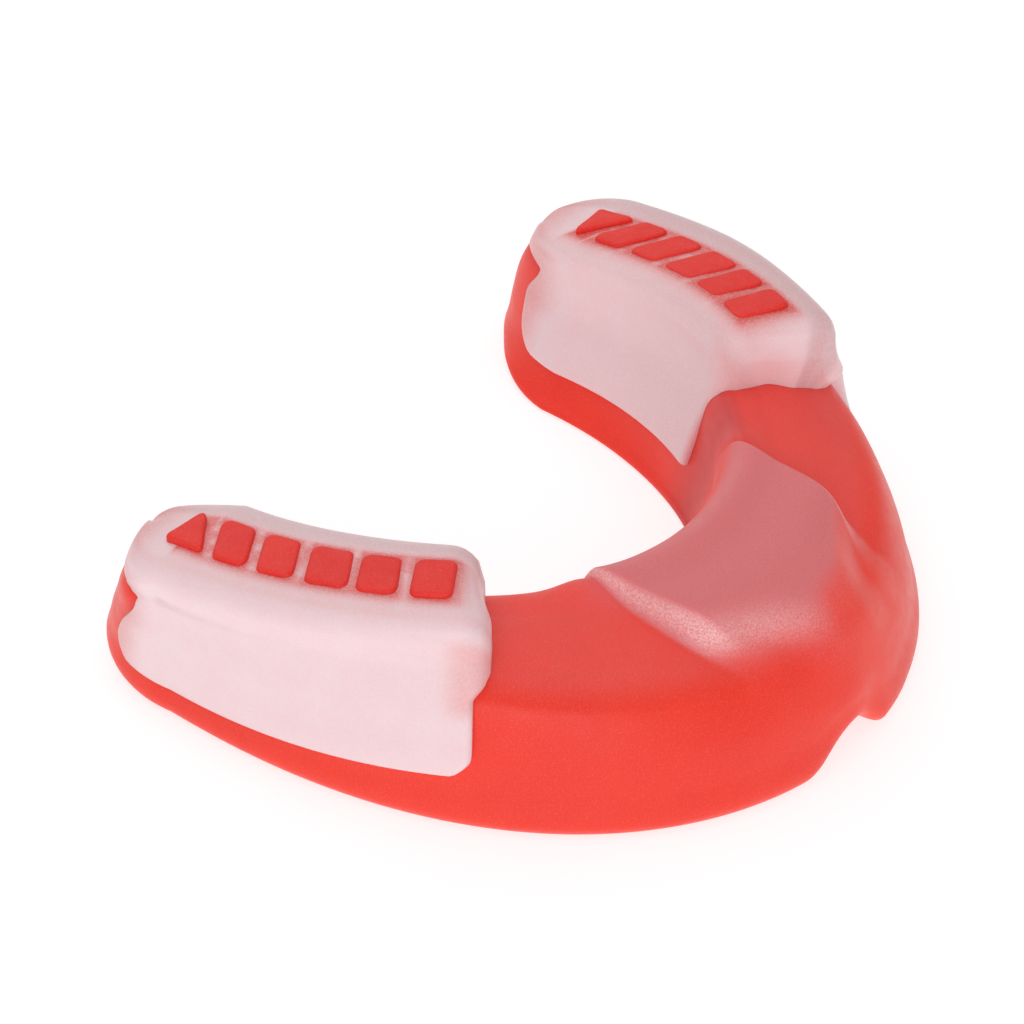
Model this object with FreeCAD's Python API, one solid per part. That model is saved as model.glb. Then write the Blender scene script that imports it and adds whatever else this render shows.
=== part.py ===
import FreeCAD, Part
import math
import os

# Self-fit mouthguard, lying with its bite side up and its tooth channel open below.
# Millimetres. The x axis runs across the mouth, -Y is the front teeth and +Z is away
# from the gums. The origin is the middle of the outline, on the plane of the rim.

# ---- driving dimensions ----------------------------------------------------------
BITE_HALF_WIDTH = 26.0  # midline to the middle of a molar row
BITE_DEPTH = 33.5  # molar line to the bite line at the midline, along y
HEEL_LENGTH = 10.6  # rounded rear end of each arm, behind the molar line
FRONT_REACH = 10.6  # bite line to the outermost point of the front wall
PAD_HEIGHT = 15.8  # top of the gel pad above the rim, at the middle of the row
PAD_SLOPE = 0.121  # the pad rises toward the front, mm per mm
ROW_MIDDLE = 9.0  # the middle of the stud row lies this far ahead of the molar line

HEEL_SWEEP = 76.0  # degrees of the heel's quarter ellipse that are built
HEEL_REACH = HEEL_LENGTH * math.sin(math.radians(HEEL_SWEEP))
OVERALL_LENGTH = FRONT_REACH + BITE_DEPTH + HEEL_REACH
MOLAR_Y = OVERALL_LENGTH / 2 - HEEL_REACH
HEEL_LEAN = 0.37  # the heel leans forward with height, mm per mm
HEEL_LIFT = 1.6  # the rim rises this much at the heel
HEEL_OUTWARD = 1.4  # the heel narrows toward its outer side by this much
ARM_MIDDLE = -2.0  # middle of the arm's width, measured outward from the bite line

# Stations run along each arm: 0 is the midline, 1 the molar line and 2 the rear end.
SHELL_REAR = 2.0
CHANNEL_REAR = 1.74  # stops short of the rear end, which leaves the heel wall
TOOTH_SPACE_REAR = 1.66  # inside the liner
PAD_FRONT = 0.56
PAD_REAR_REACH = 5.9  # the pad's walls end this far behind the molar line, in mm
CORE_SPAN = (0.58, 1.19)
STUD_ROW_SPAN = (0.575, 1.3)

# A profile lists (outward, up) points from the outer side over the top to the inner
# side, measured from the bite line. Each pair is the profile at the molars and the
# profile at the midline; the sections between them are blends of the two.
# The shell's profile starts just below the rim, where it is then trimmed flat.
SHELL_PROFILES = (
    [(4.4, -0.2), (4.6, 3.5), (4.2, 7.5), (3.4, 10.6), (1.9, 12.0),
     (-1.9, 12.0), (-3.4, 10.6), (-5.7, 6.0), (-8.5, -0.2)],
    [(10.4, -0.2), (10.6, 3.4), (9.7, 6.9), (7.2, 9.6), (3.0, 10.8),
     (-2.5, 11.3), (-6.2, 11.0), (-7.4, 6.0), (-7.8, -0.2)],
)
# The tooth channel starts below the rim so that its cut runs clear of it.
CHANNEL_PROFILES = (
    [(2.7, -2.0), (2.3, 4.8), (1.2, 8.4), (-1.0, 9.4), (-2.9, 8.2), (-4.9, 4.4), (-7.6, -2.0)],
    [(6.7, -2.0), (5.8, 4.2), (3.6, 7.2), (0.4, 8.3), (-2.6, 7.6), (-4.2, 4.2), (-5.0, -2.0)],
)
LINER_WALL = 0.9  # thickness of the moulding liner on the channel's walls
LINER_ROOF = 1.2  # and on its roof
LINER_RECESS = 0.4  # the liner stops this far inside the rim
BELOW_LINER = [(9.0, -4.0), (9.0, LINER_RECESS), (-9.0, LINER_RECESS), (-9.0, -4.0)]

# The gel pad is a saddle over each arm: its outside, and its inside under the shell's skin.
PAD_OUTSIDES = (
    [(4.8, 2.9), (4.75, 6.0), (4.3, 10.0), (4.2, 13.4), (2.9, 15.5), (0.0, 15.8),
     (-2.9, 15.4), (-3.9, 13.2), (-4.3, 10.0), (-5.5, 7.0), (-6.5, 4.6)],
    [(10.9, 5.8), (10.6, 8.0), (8.6, 13.3), (4.5, 15.9), (2.9, 17.1), (0.0, 17.3),
     (-2.9, 16.9), (-4.4, 14.5), (-7.1, 11.1), (-7.9, 7.6), (-8.2, 5.0)],
)
PAD_INSIDES = (
    [(-5.4, 4.8), (-4.0, 8.4), (-2.6, 11.0), (2.7, 11.0), (3.4, 8.0), (3.7, 3.2)],
    [(-6.8, 5.4), (-5.9, 9.0), (-3.5, 10.4), (3.4, 10.2), (7.2, 8.4), (9.1, 6.1)],
)

CORE_HALF_WIDTH = 2.4
CORE_BOTTOM = 9.0
CORE_TOP = 13.4

# Bite studs stand on the core, through windows in the pad. The gaps between them are
# parallel slots that run outward and forward.
STUD_COUNT = 6
STUD_PITCH = 4.1  # along the bite line
STUD_LENGTH = 3.2
STUD_HALF_WIDTH = 2.1
STUD_SLOT_ANGLE = 32.0  # degrees forward of straight outward
STUD_PROUD = 0.35  # height above the pad
STUD_ROW_MARGIN = 0.6  # the space the studs are cut from is this much wider on each side
PAD_CROWN = 0.3  # the pad's top falls this much from its middle to the studs' edges
STUD_CORNER = 0.55
REAR_STUD_OFFSET = 1.0  # the rear stud's middle, behind the molar line
STUD_BLANK = (12.0, 20.0)  # heights between which a stud's blank is cut
WALK_STEP = 0.002  # in station, for measuring along the bite line

# Raised platform behind the front teeth.
PLATFORM_HALF_WIDTH = 10.8
PLATFORM_END = 0.5  # station to which its blank runs before it is cut to width
PLATFORM_TOPS = (
    [(3.6, 9.4), (2.8, 11.2), (1.5, 12.3), (-1.0, 12.9), (-3.0, 12.6), (-4.2, 10.0)],
    [(8.6, 8.0), (6.4, 10.2), (3.2, 11.9), (-1.5, 12.7), (-5.6, 12.6), (-6.9, 10.2)],
)
PLATFORM_FEET = ([(-3.4, 9.8), (2.4, 8.8)], [(-6.0, 9.2), (6.4, 7.6)])

# Frenum notch in the front rim.
NOTCH_HALF_WIDTH = 4.6
NOTCH_HEIGHT = 3.4
NOTCH_DROP = 0.6  # the notch's outline starts this far below the rim


# ---- the arch --------------------------------------------------------------------
def heel_angle(station):
    """Angle along the heel's quarter ellipse; stations 1 to 2 are the heel."""
    return math.radians(max(0.0, station - 1.0) * HEEL_SWEEP)


def front_weight(station):
    """1 at the midline, falling to 0 at the molars: the share of the midline profile."""
    quarter = math.radians(90.0 * min(station, 1.0))
    return max(math.cos(quarter), 0.0) ** 1.7


def bite_point(station):
    """Point of the bite line and its outward normal, for stations 0 to 2."""
    quarter = math.radians(90.0 * min(station, 1.0))
    forward = BITE_DEPTH * math.cos(quarter)
    rearward = HEEL_LENGTH * math.sin(heel_angle(station))
    point = FreeCAD.Vector(BITE_HALF_WIDTH * math.sin(quarter), MOLAR_Y - forward + rearward, 0)
    normal = FreeCAD.Vector(
        math.sin(quarter) / BITE_HALF_WIDTH, -math.cos(quarter) / BITE_DEPTH, 0)
    return point, normal.normalize()


def slope_factor(station):
    """The slope of the bite side, as a scale on the heights of the molar profile."""
    y = max(bite_point(station)[0].y, bite_point(PAD_FRONT)[0].y)
    return 1.0 - PAD_SLOPE * (y - MOLAR_Y + ROW_MIDDLE) / PAD_HEIGHT


def place(side, station, outward, up):
    """A profile point in space, on the side -1 or 1."""
    rear = math.sin(heel_angle(station))
    middle = ARM_MIDDLE + HEEL_OUTWARD * rear
    reach = middle + (outward - ARM_MIDDLE) * math.cos(heel_angle(station))
    point, normal = bite_point(station)
    lift = HEEL_LIFT * rear ** 2 * max(0.0, 1.0 - up / PAD_HEIGHT)
    return FreeCAD.Vector(
        side * (point.x + normal.x * reach),
        point.y + normal.y * reach - HEEL_LEAN * rear * up,
        up + lift)


def run_of(side, station, profiles):
    """The points of a pair of profiles, blended for a station and put in space."""
    molar, front = profiles
    weight = front_weight(station)
    scale = slope_factor(station)
    points = []
    for (molar_out, molar_up), (front_out, front_up) in zip(molar, front):
        outward = molar_out + (front_out - molar_out) * weight
        up = molar_up * scale + (front_up - molar_up * scale) * weight
        points.append(place(side, station, outward, up))
    return points


def spread(start, end, count):
    return [start + (end - start) * index / (count - 1) for index in range(count)]


# ---- building blocks -------------------------------------------------------------
def smooth_edge(points):
    curve = Part.BSplineCurve()
    curve.interpolate(Points=points, Parameters=spread(0.0, 1.0, len(points)))
    return curve.toShape()


def closed_section(smooth_run, straight_run=()):
    """A wire: a smooth run of points, closed by straight edges through the others."""
    corners = [smooth_run[-1], *straight_run, smooth_run[0]]
    edges = [smooth_edge(smooth_run)]
    edges += [Part.LineSegment(a, b).toShape() for a, b in zip(corners, corners[1:])]
    return Part.Wire(edges)


def loft(sections):
    """Solid through closely spaced sections, with straight rulings from each to the next."""
    return Part.makeLoft(sections, True, True)


def arch_places(rear):
    """Sides and stations from the right heel round the front to the left one."""
    arm = spread(0.07, 1.0, 14) + spread(1.0, rear, 9)[1:]
    return [(-1, station) for station in reversed(arm)] + [(1, 0.0)] + [(1, s) for s in arm]


def arch_solid(profiles, rear):
    return loft([closed_section(run_of(side, station, profiles))
                 for side, station in arch_places(rear)])


def polygon_section(side, station, profile):
    corners = run_of(side, station, (profile, profile))
    return Part.makePolygon(corners + corners[:1])


def inset(profile):
    """A channel profile moved inward by the liner's thickness."""
    highest = max(up for _, up in profile)
    middle = (profile[0][0] + profile[-1][0]) / 2
    moved = []
    for outward, up in profile:
        height_share = max(up, 0.0) / highest
        wall = math.copysign(LINER_WALL, outward - middle) * (1.0 - 0.4 * height_share)
        moved.append((outward - wall, up - LINER_ROOF * height_share))
    return moved


def largest_solid(shape):
    return max(shape.Solids, key=lambda solid: solid.Volume)


# ---- the notch, the rim and the platform ---------------------------------------------
def below_rim():
    """Everything below the plane that the rim rests on."""
    return Part.makeBox(2 * OVERALL_LENGTH, 2 * OVERALL_LENGTH, PAD_HEIGHT,
                        FreeCAD.Vector(-OVERALL_LENGTH, -OVERALL_LENGTH, -PAD_HEIGHT))


def notch_blank():
    """Rounded notch through the front wall, for the lip's frenum."""
    outline = []
    for x in spread(-NOTCH_HALF_WIDTH, NOTCH_HALF_WIDTH, 9):
        share = math.cos(math.pi / 2 * x / NOTCH_HALF_WIDTH) ** 2
        outline.append(FreeCAD.Vector(x, -OVERALL_LENGTH / 2 - 2, share * (NOTCH_HEIGHT + NOTCH_DROP)
                                      - NOTCH_DROP))
    below = [FreeCAD.Vector(p.x, p.y, -3.0) for p in (outline[-1], outline[0])]
    return Part.Face(closed_section(outline, below)).extrude(FreeCAD.Vector(0, 9, 0))


def platform_blank():
    arm = spread(0.07, PLATFORM_END, 7)
    stations = [(-1, s) for s in reversed(arm)] + [(1, 0.0)] + [(1, s) for s in arm]
    sections = [
        closed_section(run_of(side, s, PLATFORM_TOPS), run_of(side, s, PLATFORM_FEET))
        for side, s in stations
    ]
    width = 2 * PLATFORM_HALF_WIDTH
    slab = Part.makeBox(width, OVERALL_LENGTH, 2 * PAD_HEIGHT,
                        FreeCAD.Vector(-width / 2, -OVERALL_LENGTH / 2 - 5, 0))
    return loft(sections).common(slab)


# ---- pads, cores and studs ---------------------------------------------------------
def pad_blank(side):
    stations = spread(PAD_FRONT, 1.0, 8) + spread(1.0, 1.9, 8)[1:]
    sections = [
        closed_section(run_of(side, s, PAD_OUTSIDES), run_of(side, s, PAD_INSIDES))
        for s in stations
    ]
    behind = Part.makeBox(4 * BITE_HALF_WIDTH, OVERALL_LENGTH, 4 * PAD_HEIGHT,
                          FreeCAD.Vector(-2 * BITE_HALF_WIDTH, MOLAR_Y + PAD_REAR_REACH, -PAD_HEIGHT))
    return loft(sections).cut(behind)


def strip(side, profile, span):
    """Bar that follows the stud row, with the same profile all along it."""
    return loft([polygon_section(side, station, profile) for station in spread(*span, 10)])


def core_blank(side):
    half = CORE_HALF_WIDTH
    profile = [(half, CORE_BOTTOM), (half, CORE_TOP), (-half, CORE_TOP), (-half, CORE_BOTTOM)]
    return strip(side, profile, CORE_SPAN)


def stud_row_blank(side):
    """The space that the studs fill: from the core up to just proud of the pad."""
    half = STUD_HALF_WIDTH + STUD_ROW_MARGIN
    edge_top = PAD_HEIGHT - PAD_CROWN + STUD_PROUD
    profile = [(half, CORE_TOP - 1), (half, edge_top), (0.0, PAD_HEIGHT + STUD_PROUD),
               (-half, edge_top), (-half, CORE_TOP - 1)]
    return strip(side, profile, STUD_ROW_SPAN)


def station_ahead(distance):
    """Station of the bite line at a distance ahead of the molar line."""
    station = STUD_ROW_SPAN[1]
    point = bite_point(station)[0]
    walked = MOLAR_Y - point.y
    while walked < distance:
        station -= WALK_STEP
        following = bite_point(station)[0]
        walked += following.sub(point).Length
        point = following
    return station


def stud_outline(side, index):
    """Corners of a stud in plan: inner and outer ends of its front and rear slots."""
    middle = index * STUD_PITCH - REAR_STUD_OFFSET
    angle = math.radians(STUD_SLOT_ANGLE)
    slot = FreeCAD.Vector(math.cos(angle), -math.sin(angle), 0)
    corners = []
    for along, outward_signs in ((STUD_LENGTH / 2, (-1, 1)), (-STUD_LENGTH / 2, (1, -1))):
        point, normal = bite_point(station_ahead(middle + along))
        half = STUD_HALF_WIDTH / slot.dot(normal)
        corners += [point + slot * (sign * half) for sign in outward_signs]
    if index == 0:
        corners.pop()  # the rear stud is a triangle, under the rounded end of the pad
    return [FreeCAD.Vector(side * p.x, p.y, STUD_BLANK[0]) for p in corners]


def stud_blank(side, index):
    corners = stud_outline(side, index)
    face = Part.Face(Part.makePolygon(corners + corners[:1]))
    prism = face.extrude(FreeCAD.Vector(0, 0, STUD_BLANK[1] - STUD_BLANK[0]))
    upright = [e for e in prism.Edges if abs(e.tangentAt(e.FirstParameter).z) > 0.9]
    return prism.makeFillet(STUD_CORNER, upright)


def save(name, shape):
    solid = largest_solid(shape)
    solid.exportStep(f"parts/{name}.step")
    box = solid.optimalBoundingBox()
    print(name, "valid", solid.isValid(), "solids", len(shape.Solids),
          "volume", round(solid.Volume, 1), "z", round(box.ZMin, 2), round(box.ZMax, 2))


def build_side(side, name):
    """One arm's pad, core and studs; returns the pad's blank, which the shell makes room for."""
    blank = pad_blank(side)
    core_room = core_blank(side)
    save(f"{name}_bite_core", core_room.common(blank))
    pad = blank.cut(core_room)
    stud_room = stud_row_blank(side)
    for index in range(STUD_COUNT):
        window = stud_blank(side, index)
        pad = pad.cut(window)
        save(f"{name}_bite_stud_{index + 1}", window.common(stud_room).cut(core_room))
    save(f"{name}_molar_pad", pad)
    return blank


def main():
    os.makedirs("parts", exist_ok=True)
    channel = arch_solid(CHANNEL_PROFILES, CHANNEL_REAR)
    notch = notch_blank()
    shell = arch_solid(SHELL_PROFILES, SHELL_REAR).fuse(platform_blank())
    shell = shell.cut(channel).cut(notch).cut(below_rim())
    for side, name in ((-1, "right"), (1, "left")):
        shell = shell.cut(build_side(side, name))
    save("outer_shell", shell)
    tooth_space = arch_solid(tuple(inset(profile) for profile in CHANNEL_PROFILES), TOOTH_SPACE_REAR)
    below = loft([polygon_section(side, s, BELOW_LINER) for side, s in arch_places(SHELL_REAR)])
    save("fit_liner", channel.cut(below).cut(tooth_space).cut(notch))


main()
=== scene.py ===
import math

import bmesh
import bpy
import numpy as np
from mathutils import Matrix, Vector


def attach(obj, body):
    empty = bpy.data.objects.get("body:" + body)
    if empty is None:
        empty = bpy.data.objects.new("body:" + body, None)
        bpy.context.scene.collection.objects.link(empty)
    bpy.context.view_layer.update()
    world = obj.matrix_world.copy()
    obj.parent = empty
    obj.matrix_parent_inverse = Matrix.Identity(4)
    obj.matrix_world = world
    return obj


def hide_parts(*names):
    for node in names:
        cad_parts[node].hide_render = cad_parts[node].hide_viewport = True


# Looks of a boil-and-fit mouthguard: a red gel shell with milky gel molar pads and red
# bite studs. Lengths are worked out in millimetres and put into the scene in metres.
#
# Every piece is drawn along the dental arch. A point of it has a side (-1 for the right
# arm, 1 for the left), a station along the arch (0 at the midline, 1 at the molar line,
# 2 at the heel's tip), and a place in the profile there: outward from the bite line
# toward the cheek, and up from the rim.
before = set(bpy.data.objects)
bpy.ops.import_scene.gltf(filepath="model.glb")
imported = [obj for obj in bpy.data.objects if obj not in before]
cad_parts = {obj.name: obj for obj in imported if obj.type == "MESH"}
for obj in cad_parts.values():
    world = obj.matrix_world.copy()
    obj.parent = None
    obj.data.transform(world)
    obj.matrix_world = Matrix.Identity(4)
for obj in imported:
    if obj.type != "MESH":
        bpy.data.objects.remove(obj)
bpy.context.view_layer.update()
MM = 0.001
MERGE_DISTANCE = 1e-6  # metres

# ---- the arch ---------------------------------------------------------------------
# The driving dimensions are the solids' own, apart from small changes at the heel.
BITE_HALF_WIDTH = 26.0
BITE_DEPTH = 33.5
FRONT_FALLOFF = 1.7  # how fast the midline profile gives way to the molar one
HEEL_LENGTH = 11.3  # from the molar line to the heel's tip
MOLAR_Y = 16.9
PAD_HEIGHT = 15.8
PAD_SLOPE = 0.121
ROW_MIDDLE = 9.0  # how far ahead of the molar line the stud row's middle is
PAD_FRONT = 0.56  # station ahead of which the bite plane is level
HEEL_LEAN = 0.42  # how far the tip leans forward, per mm of height
HEEL_LIFT = 1.2  # how much the rim rises there
HEEL_OUTWARD = 1.5  # how far toward the cheek the tip sits
HEEL_SQUARENESS = 0.88  # below 1, the heel is squarer in plan than an ellipse
RIGHT_CAP_SQUARENESS = (1.12, 0.68)  # the same above the walls, on the cheek and tongue sides
LEFT_CAP_SQUARENESS = (0.9, 0.84)
WALL_TO_CAP = (9.0, 13.0)  # heights over which the heel's walls become its cap
RIM_ROUNDNESS = 0.2  # what the squareness gains at the rim
RIM_TO_WALL = (1.0, 5.0)
HEEL_TUCK = 1.7  # the heel's lowest edge tucks in by this much
HEEL_TUCK_HEIGHT = 1.8
ARM_MIDDLE = -2.0  # outward place of an arm's middle in its profile
LEFT_ARM_BACK = 0.45  # the left arm sits a little further back than the right one
LEFT_HEEL_LONGER = (-0.65, 0.85)  # and its heel is longer by this much, at the rim and the cap


def smoothstep(value, low, high):
    share = np.clip((value - low) / (high - low), 0.0, 1.0)
    return share * share * (3.0 - 2.0 * share)


def bell(value, middle, width):
    return np.exp(-((value - middle) / width) ** 2)


def heel_angle(station):
    """Angle round the heel; stations 1 to 2 sweep a quarter ellipse."""
    return np.radians(90.0 * np.clip(station - 1.0, 0.0, 1.0))


def front_weight(station):
    """Share of the midline profile: 1 at the midline and 0 at the molars."""
    quarter = np.radians(90.0 * np.minimum(station, 1.0))
    return np.maximum(np.cos(quarter), 0.0) ** FRONT_FALLOFF


def bite_line(station):
    """Points x, y of the bite line and its outward normals, for stations 0 to 2."""
    quarter = np.radians(90.0 * np.minimum(station, 1.0))
    x = BITE_HALF_WIDTH * np.sin(quarter)
    y = MOLAR_Y - BITE_DEPTH * np.cos(quarter) + HEEL_LENGTH * np.sin(heel_angle(station))
    normal_x = np.sin(quarter) / BITE_HALF_WIDTH
    normal_y = -np.cos(quarter) / BITE_DEPTH
    length = np.hypot(normal_x, normal_y)
    return x, y, normal_x / length, normal_y / length


def walked_ahead(stations):
    """Distance along the bite line ahead of the molar line, at stations that run forward."""
    x, y, _, _ = bite_line(stations)
    walked = np.concatenate([[0.0], np.cumsum(np.hypot(np.diff(x), np.diff(y)))])
    return walked + MOLAR_Y - y[0]


def distance_ahead(station):
    stations = np.arange(2.0, 0.0, -0.002)
    return np.interp(-station, -stations, walked_ahead(stations))


def station_ahead(distance):
    stations = np.arange(1.4, 0.3, -0.001)
    return np.interp(distance, walked_ahead(stations), stations)


def slope_factor(station):
    """Height of the sloping bite plane, as a share of its height at the stud row's middle."""
    y = np.maximum(bite_line(station)[1], bite_line(np.float64(PAD_FRONT))[1])
    return 1.0 - PAD_SLOPE * (y - MOLAR_Y + ROW_MIDDLE) / PAD_HEIGHT


def arm_drift(side, station, up):
    """How far back a point of the left arm sits from the right arm's mirror image."""
    at_rim, at_cap = LEFT_HEEL_LONGER
    drift = LEFT_ARM_BACK * smoothstep(station, 0.4, 0.8)
    heel = at_rim + (at_cap - at_rim) * smoothstep(up, 1.0, 9.0)
    return np.where(side > 0, drift + np.sin(heel_angle(station)) * heel, 0.0)


def heel_squareness(side, outward, up):
    right_cap, left_cap = (np.where(outward > ARM_MIDDLE, *pair)
                           for pair in (RIGHT_CAP_SQUARENESS, LEFT_CAP_SQUARENESS))
    cap = np.where(side > 0, left_cap, right_cap)
    squareness = HEEL_SQUARENESS + (cap - HEEL_SQUARENESS) * smoothstep(up, *WALL_TO_CAP)
    return squareness + RIM_ROUNDNESS * (1.0 - smoothstep(up, *RIM_TO_WALL))


def place(side, station, outward, up):
    """Points of a profile in space, in mm, as an array that ends in x, y, z."""
    rear = np.sin(heel_angle(station))
    x, y, normal_x, normal_y = bite_line(station)
    middle = ARM_MIDDLE + HEEL_OUTWARD * rear
    width = np.maximum(np.cos(heel_angle(station)), 0.0) ** heel_squareness(side, outward, up)
    reach = middle + (outward - ARM_MIDDLE) * width
    lift = HEEL_LIFT * rear ** 2 * np.clip(1.0 - up / PAD_HEIGHT, 0.0, 1.0)
    tuck = HEEL_TUCK * rear * np.clip(1.0 - up / HEEL_TUCK_HEIGHT, 0.0, 1.0) ** 2
    back = arm_drift(side, station, up) - HEEL_LEAN * rear * up - tuck
    return np.stack([side * (x + normal_x * reach), y + normal_y * reach + back, up + lift],
                    axis=-1)


# ---- profiles ---------------------------------------------------------------------
def segment_counts(profiles, spacing):
    """How many steps to take between each two points of the closed profiles."""
    counts = 0.0
    for profile in profiles:
        points = np.array(profile)
        lengths = np.hypot(*(np.roll(points, -1, axis=0) - points).T)
        counts = np.maximum(counts, np.ceil(lengths / spacing))
    return counts.astype(int)


def smooth_run(profile, counts):
    """A smooth closed curve through a profile's points, with set steps between them."""
    points = np.array(profile, float)
    following = np.roll(points, -1, axis=0)
    chords = following - points
    ahead = np.maximum(np.hypot(*chords.T), 1e-6)[:, None]
    behind = np.roll(ahead, 1, axis=0)
    slopes = chords / ahead
    tangents = (np.roll(slopes, 1, axis=0) * ahead + slopes * behind) / (behind + ahead)
    next_tangents = np.roll(tangents, -1, axis=0)
    run = []
    for i, count in enumerate(counts):
        t = np.arange(count)[:, None] / count
        run.append(points[i] * (1 + 2 * t) * (1 - t) ** 2
                   + following[i] * t * t * (3 - 2 * t)
                   + ahead[i] * (tangents[i] * t * (1 - t) ** 2
                                 - next_tangents[i] * t * t * (1 - t)))
    return np.concatenate(run)


def sampled(profiles, spacing):
    """Smooth runs of the profiles, point for point alike, and the row each point is on."""
    counts = segment_counts(profiles, spacing)
    runs = [smooth_run(profile, counts) for profile in profiles]
    return runs, np.repeat(np.arange(len(counts)), counts)


def mirrored(stations):
    """Sides and columns for stations of both arms, from heel to heel."""
    signed = np.concatenate([-stations[:0:-1], stations])
    return np.where(signed < 0, -1.0, 1.0)[:, None], np.abs(signed)[:, None]


def blended(station, molar, front):
    """Outward and up of each profile row at each station, between two sampled profiles."""
    weight = front_weight(station)
    scale = slope_factor(station)
    outward = molar[..., 0] + (front[..., 0] - molar[..., 0]) * weight
    up = molar[..., 1] * scale + (front[..., 1] - molar[..., 1] * scale) * weight
    return outward, up


# ---- meshes -----------------------------------------------------------------------
def tube_faces(columns, rows):
    """Quads between neighbouring columns of a closed tube's points, and its two ends."""
    quads = [(c * rows + r, (c + 1) * rows + r,
              (c + 1) * rows + (r + 1) % rows, c * rows + (r + 1) % rows)
             for c in range(columns - 1) for r in range(rows)]
    return quads + [tuple(range(first, first + rows)) for first in (0, (columns - 1) * rows)]


def add_piece(name, points, material, nodes, colours=None):
    """A smooth closed tube that stands for CAD nodes and rides on the one body. Its points,
    in mm, are an array of columns and rows."""
    mesh = bpy.data.meshes.new(name)
    mesh.from_pydata((points.reshape(-1, 3) * MM).tolist(), [], tube_faces(*points.shape[:2]))
    if colours is not None:
        layer = mesh.attributes.new("gel_colour", "FLOAT_COLOR", "POINT")
        layer.data.foreach_set("color", np.asarray(colours, np.float32).ravel())
    work = bmesh.new()
    work.from_mesh(mesh)
    bmesh.ops.remove_doubles(work, verts=work.verts, dist=MERGE_DISTANCE)
    bmesh.ops.recalc_face_normals(work, faces=work.faces)
    work.to_mesh(mesh)
    work.free()
    mesh.shade_smooth()
    mesh.materials.append(material)
    piece = bpy.data.objects.new(name, mesh)
    bpy.context.scene.collection.objects.link(piece)
    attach(piece, "root")
    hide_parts(*nodes)


# ---- materials --------------------------------------------------------------------
class Nodes:
    """Short ways to build a material's node tree."""

    def __init__(self, name):
        self.material = bpy.data.materials.new(name)
        self.material.use_nodes = True
        self.tree = self.material.node_tree
        self.shader = self.tree.nodes["Principled BSDF"]
        self.coordinates = self.tree.nodes.new("ShaderNodeTexCoord").outputs["Object"]

    def feed(self, socket, value):
        """Links another socket into an input, or sets the input to a plain value."""
        if isinstance(value, bpy.types.NodeSocket):
            self.tree.links.new(value, socket)
        else:
            socket.default_value = value

    def noise(self, scale, detail=3.0, roughness=0.55):
        """Noise with features of about 1 / scale metres."""
        node = self.tree.nodes.new("ShaderNodeTexNoise")
        for name, value in (("Scale", scale), ("Detail", detail), ("Roughness", roughness),
                            ("Vector", self.coordinates)):
            self.feed(node.inputs[name], value)
        return node.outputs["Fac"]

    def attribute(self, name):
        node = self.tree.nodes.new("ShaderNodeAttribute")
        node.attribute_name = name
        return node.outputs["Color"]

    def remap(self, value, low, high, new_low, new_high):
        node = self.tree.nodes.new("ShaderNodeMapRange")
        for name, given in (("From Min", low), ("From Max", high), ("To Min", new_low),
                            ("To Max", new_high), ("Value", value)):
            self.feed(node.inputs[name], given)
        return node.outputs["Result"]

    def channels(self, colour):
        node = self.tree.nodes.new("ShaderNodeSeparateColor")
        self.feed(node.inputs["Color"], colour)
        return tuple(node.outputs)

    def multiply(self, first, second):
        node = self.tree.nodes.new("ShaderNodeMath")
        node.operation = "MULTIPLY"
        self.feed(node.inputs[0], first)
        self.feed(node.inputs[1], second)
        return node.outputs["Value"]

    def mix(self, share, first, second):
        """Colour between two colours; the numbers are where a mix node keeps its colours."""
        node = self.tree.nodes.new("ShaderNodeMix")
        node.data_type = "RGBA"
        for number, value in ((0, share), (6, first), (7, second)):
            self.feed(node.inputs[number], value)
        return node.outputs[2]

    def bump(self, height, strength, distance, under=None):
        node = self.tree.nodes.new("ShaderNodeBump")
        for name, value in (("Strength", strength), ("Distance", distance), ("Height", height)):
            self.feed(node.inputs[name], value)
        if under is not None:
            self.feed(node.inputs["Normal"], under)
        return node.outputs["Normal"]

    def set(self, **values):
        """Sets the shader's inputs, named with _ for each space."""
        for name, value in values.items():
            self.feed(self.shader.inputs[name.replace("_", " ")], value)


def linear(red, green, blue):
    """A colour of the screen, 0 to 255, as the linear colour of a material."""
    channels = []
    for value in (red, green, blue):
        share = value / 255
        channels.append(share / 12.92 if share <= 0.04045 else ((share + 0.055) / 1.055) ** 2.4)
    return (*channels, 1.0)


GEL_SCATTER_DEPTH = 0.0012  # how deep light wanders into the gel, in metres
GEL_IOR = 1.46
RED_SCATTER = (1.0, 0.2, 0.14)
COARSE_GRAIN_DEPTH = 0.0001  # metres
FINE_GRAIN_DEPTH = 0.00003
# red of the painted shade on the left arm's tongue-side wall
PAINTED_SHADE_RED = (214, 40, 32)
LIT_SLOPE = (250, 200, 200)
# pinks of the painted sheen: the pale reflection that the shell's upward faces show
PAINTED_SHEEN_PINKS = ((226, 112, 116), (236, 156, 158))
PAD_BLUSH = (232, 150, 150)
PAD_SPECK = (250, 236, 238)


def gel(name, roughness, grain, subsurface, scatter, sheen):
    """Frosted gel with fine grain on its surface, still without its colour."""
    nodes = Nodes(name)
    rough = nodes.remap(nodes.noise(900.0, 3.0), 0.3, 0.7, roughness - 0.05, roughness + 0.07)
    coarse = nodes.bump(nodes.noise(500.0, 2.0), 0.15 * grain, COARSE_GRAIN_DEPTH)
    fine = nodes.bump(nodes.noise(8000.0, 2.0, 0.65), grain, FINE_GRAIN_DEPTH, coarse)
    nodes.set(Roughness=rough, Normal=fine, IOR=GEL_IOR,
              Subsurface_Weight=subsurface, Subsurface_Radius=scatter,
              Subsurface_Scale=GEL_SCATTER_DEPTH, Sheen_Weight=sheen, Sheen_Roughness=0.5)
    return nodes


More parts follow.
